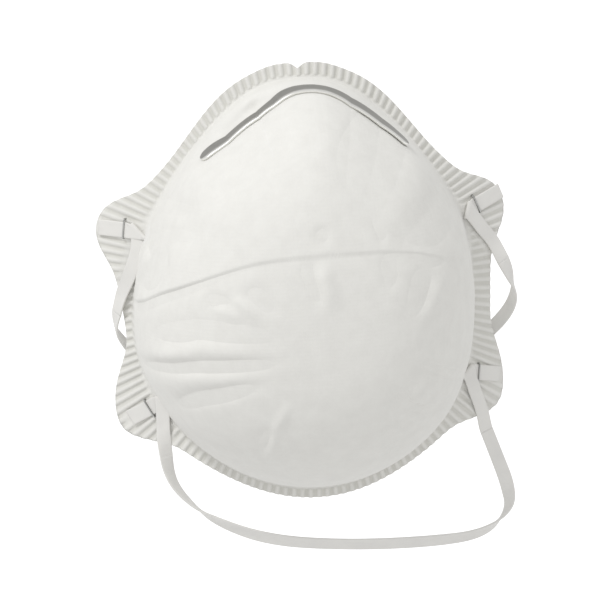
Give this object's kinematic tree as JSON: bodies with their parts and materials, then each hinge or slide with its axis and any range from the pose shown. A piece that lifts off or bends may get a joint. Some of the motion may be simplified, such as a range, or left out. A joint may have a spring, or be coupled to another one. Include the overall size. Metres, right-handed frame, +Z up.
{
  "type": "disposable dust mask",
  "caption": "White non-woven cup mask with a crimped face flange, four tabs, a bent metal nose clip, staples and hanging elastic head straps.",
  "frame": {"origin": "middle of the face opening, level with the back of the flange at the nose and the chin", "axes": "+Z up as worn, -Y forwards out of the cup, +Y towards the wearer's face, +X to the viewer's right"},
  "size_m": [0.1381, 0.0769, 0.166],
  "materials": {
    "cover_web": "matte non-woven web",
    "filter_web": "matte non-woven web",
    "shell_web": "stiff thermoformed web",
    "lining_web": "soft smooth web",
    "clip_metal": "satin",
    "staple_wire": "bright wire",
    "foam": "open-cell foam",
    "elastic": "smooth elastic band"
  },
  "bodies": {
    "mask": {"outer_cover": "cover_web", "filter_layer": "filter_web", "support_shell": "shell_web", "inner_lining": "lining_web", "nose_clip": "clip_metal", "nose_foam": "foam", "staple_upper_left": "staple_wire", "staple_upper_right": "staple_wire", "staple_lower_left": "staple_wire", "staple_lower_right": "staple_wire", "strap_end_upper_left": "elastic", "strap_end_upper_right": "elastic", "strap_end_lower_left": "elastic", "strap_end_lower_right": "elastic"},
    "upper_strap": {"strap_loop_upper": "elastic"},
    "lower_strap": {"strap_loop_lower": "elastic"}
  },
  "joints": [
    {"name": "upper_strap_swing", "type": "hinge", "parent": "mask", "child": "upper_strap", "pos_m": [0.0005, 0.01325, -0.0044], "axis": [0.9975, -0.0038, 0.0703], "range_deg": [0, 130]},
    {"name": "lower_strap_swing", "type": "hinge", "parent": "mask", "child": "lower_strap", "pos_m": [0.00415, 0.0082, -0.0564], "axis": [0.9996, 0.0298, 0], "range_deg": [-20, 115]}
  ]
}
